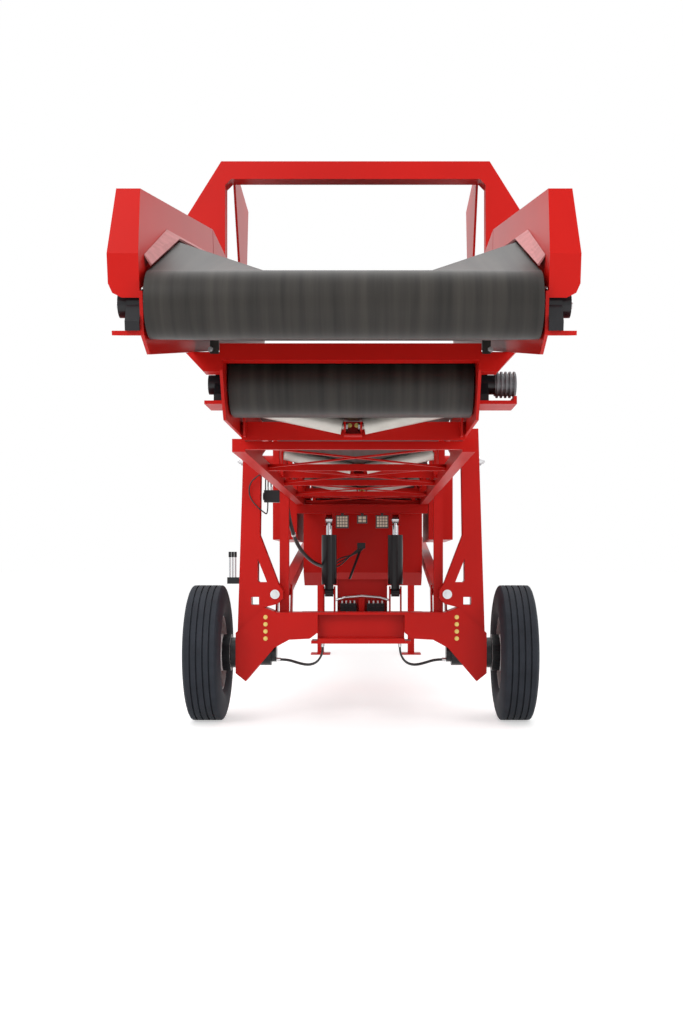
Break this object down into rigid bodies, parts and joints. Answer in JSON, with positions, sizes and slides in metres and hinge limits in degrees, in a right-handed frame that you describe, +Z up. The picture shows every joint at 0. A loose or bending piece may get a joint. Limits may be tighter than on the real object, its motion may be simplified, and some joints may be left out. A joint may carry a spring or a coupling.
{
  "type": "mobile stacking conveyor",
  "caption": "Towed stacking conveyor: a troughed belt in a lattice boom with a tilted hopper feeder, luffing on a wheeled axle frame with lift cylinders.",
  "frame": {"origin": "middle of the footprint at ground level", "axes": "+X to the right seen from the feed end, +Y towards the discharge end, +Z up"},
  "size_m": [2.664, 14.6189, 3.25],
  "materials": {
    "red_paint": "glossy red enamel",
    "belt_rubber": "matt black belt",
    "tyre": "charcoal road tyre",
    "roll_steel": "pale worn roll",
    "drum_steel": "turned steel",
    "black_paint": "satin black",
    "chrome": "hard chrome",
    "zinc": "zinc plated",
    "grey_paint": "motor grey",
    "lamp": "lamp housing",
    "hose_rubber": "black hose",
    "engine_alloy": "cast alloy"
  },
  "bodies": {
    "undercarriage": {"axle_beam": "red_paint", "axle_arms": "red_paint", "wheel_motors": "black_paint", "outer_legs": "red_paint", "pivot_pins": "zinc", "inner_posts": "red_paint", "rear_frame": "red_paint", "valve_block": "black_paint", "control_levers": "chrome", "hose_left_front": "hose_rubber", "hose_left_rear": "hose_rubber", "hose_right_front": "hose_rubber", "hose_right_rear": "hose_rubber"},
    "wheel_left": {"tyre_left": "tyre", "rim_left": "red_paint"},
    "wheel_right": {"tyre_right": "tyre", "rim_right": "red_paint"},
    "boom": {"truss_chords": "red_paint", "truss_sides": "red_paint", "truss_floor": "red_paint", "tail_frame": "red_paint", "head_frame": "red_paint", "stacker_belt": "belt_rubber", "stacker_drums": "drum_steel", "stacker_bearings": "black_paint", "belt_motors": "grey_paint", "carry_rolls": "roll_steel", "carry_frames": "red_paint", "vee_rolls": "roll_steel", "vee_frames": "red_paint", "pivot_bosses": "red_paint", "cross_plate": "red_paint", "work_lamps": "lamp", "strut_lugs": "red_paint", "power_pack": "red_paint", "engine": "engine_alloy", "side_tanks": "red_paint", "feeder_frame": "red_paint", "feeder_belt": "belt_rubber", "feeder_drums": "drum_steel", "feeder_bearings": "black_paint", "feeder_rolls": "roll_steel", "feeder_idler_frames": "red_paint", "hopper_wings": "red_paint", "hopper_sides": "red_paint", "arch": "red_paint", "feeder_stand": "red_paint", "loading_skirts": "red_paint", "leg_sleeves": "red_paint", "tow_frame": "red_paint"},
    "lift_barrels": {"lift_barrels": "black_paint"},
    "lift_rods": {"lift_rods": "chrome"},
    "strut_tubes": {"strut_tubes": "red_paint"},
    "strut_rods": {"strut_rods": "red_paint"},
    "landing_legs": {"landing_legs": "red_paint"}
  },
  "joints": [
    {"name": "luff", "type": "hinge", "parent": "undercarriage", "child": "boom", "pos_m": [0, -1.7505, 2.02], "axis": [1, 0, 0], "range_deg": [0, 15]},
    {"name": "wheel_left_spin", "type": "hinge", "parent": "undercarriage", "child": "wheel_left", "pos_m": [-1.19, -1.7505, 0.525], "axis": [1, 0, 0], "continuous": true},
    {"name": "wheel_right_spin", "type": "hinge", "parent": "undercarriage", "child": "wheel_right", "pos_m": [1.19, -1.7505, 0.525], "axis": [1, 0, 0], "continuous": true},
    {"name": "lift_swing", "type": "hinge", "parent": "undercarriage", "child": "lift_barrels", "pos_m": [0, -0.8505, 0.98], "axis": [1, 0, 0], "range_deg": [-5.14, 0]},
    {"name": "lift_extend", "type": "slide", "parent": "lift_barrels", "child": "lift_rods", "axis": [0, 0, 1], "range_m": [0, 0.2509]},
    {"name": "strut_swing", "type": "hinge", "parent": "undercarriage", "child": "strut_tubes", "pos_m": [0, -1.5205, 1], "axis": [1, 0, 0], "range_deg": [0, 14.89]},
    {"name": "strut_extend", "type": "slide", "parent": "strut_tubes", "child": "strut_rods", "axis": [0, 0.9915, 0.1298], "range_m": [0, 0.2729]},
    {"name": "landing_legs_slide", "type": "slide", "parent": "boom", "child": "landing_legs", "axis": [0, 0, 1], "range_m": [0, 0.35]}
  ],
  "couplings": [
    {"joint": "lift_swing", "follows": "luff", "ratio": -0.34278},
    {"joint": "lift_extend", "follows": "luff", "m_per_rad": 0.9578},
    {"joint": "strut_swing", "follows": "luff", "ratio": 0.99267},
    {"joint": "strut_extend", "follows": "luff", "m_per_rad": 1.0419}
  ]
}
